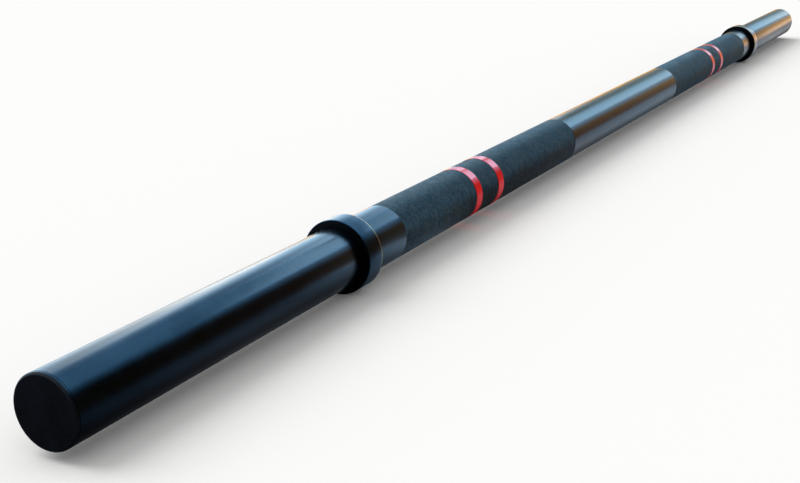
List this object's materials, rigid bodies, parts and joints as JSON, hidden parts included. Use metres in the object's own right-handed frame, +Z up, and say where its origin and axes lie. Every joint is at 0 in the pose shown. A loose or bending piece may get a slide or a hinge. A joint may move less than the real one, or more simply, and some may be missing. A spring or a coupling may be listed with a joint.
{
  "type": "powerlifting bar",
  "caption": "Straight thick lifting bar with a knurled shaft, red hand-spacing bands, stop collars and smooth sleeves that spin.",
  "frame": {"origin": "middle of the bar, on its axis", "axes": "+X along the bar, +Z up; the bar lies on its two collars"},
  "size_m": [2, 0.0618, 0.0618],
  "materials": {
    "black_coat": "smooth glossy black coating on steel, matte where the shaft is knurled",
    "red_enamel": "smooth glossy red band, level with the shaft",
    "cap_black": "matte black anodised, with a rounded rim",
    "ground_steel": "ground bare steel",
    "bronze": "turned bearing bronze",
    "spring_steel": "dark phosphated spring steel",
    "seal_rubber": "black nitrile rubber"
  },
  "bodies": {
    "shaft": {"shaft_tube": "black_coat", "ring_mark_left_outer": "red_enamel", "ring_mark_left_inner": "red_enamel", "ring_mark_right_inner": "red_enamel", "ring_mark_right_outer": "red_enamel", "left_spindle": "ground_steel", "left_thrust_washer": "bronze", "left_end_washer": "ground_steel", "left_snap_ring": "spring_steel", "right_spindle": "ground_steel", "right_thrust_washer": "bronze", "right_end_washer": "ground_steel", "right_snap_ring": "spring_steel"},
    "left_sleeve": {"left_sleeve_tube": "black_coat", "left_collar": "black_coat", "left_inner_bush": "bronze", "left_outer_bush": "bronze", "left_end_cap": "cap_black", "left_cap_seal": "seal_rubber"},
    "right_sleeve": {"right_sleeve_tube": "black_coat", "right_collar": "black_coat", "right_inner_bush": "bronze", "right_outer_bush": "bronze", "right_end_cap": "cap_black", "right_cap_seal": "seal_rubber"}
  },
  "joints": [
    {"name": "left_sleeve_spin", "type": "hinge", "parent": "shaft", "child": "left_sleeve", "pos_m": [-0.655, 0, 0], "axis": [1, 0, 0], "continuous": true},
    {"name": "right_sleeve_spin", "type": "hinge", "parent": "shaft", "child": "right_sleeve", "pos_m": [0.655, 0, 0], "axis": [1, 0, 0], "continuous": true}
  ]
}
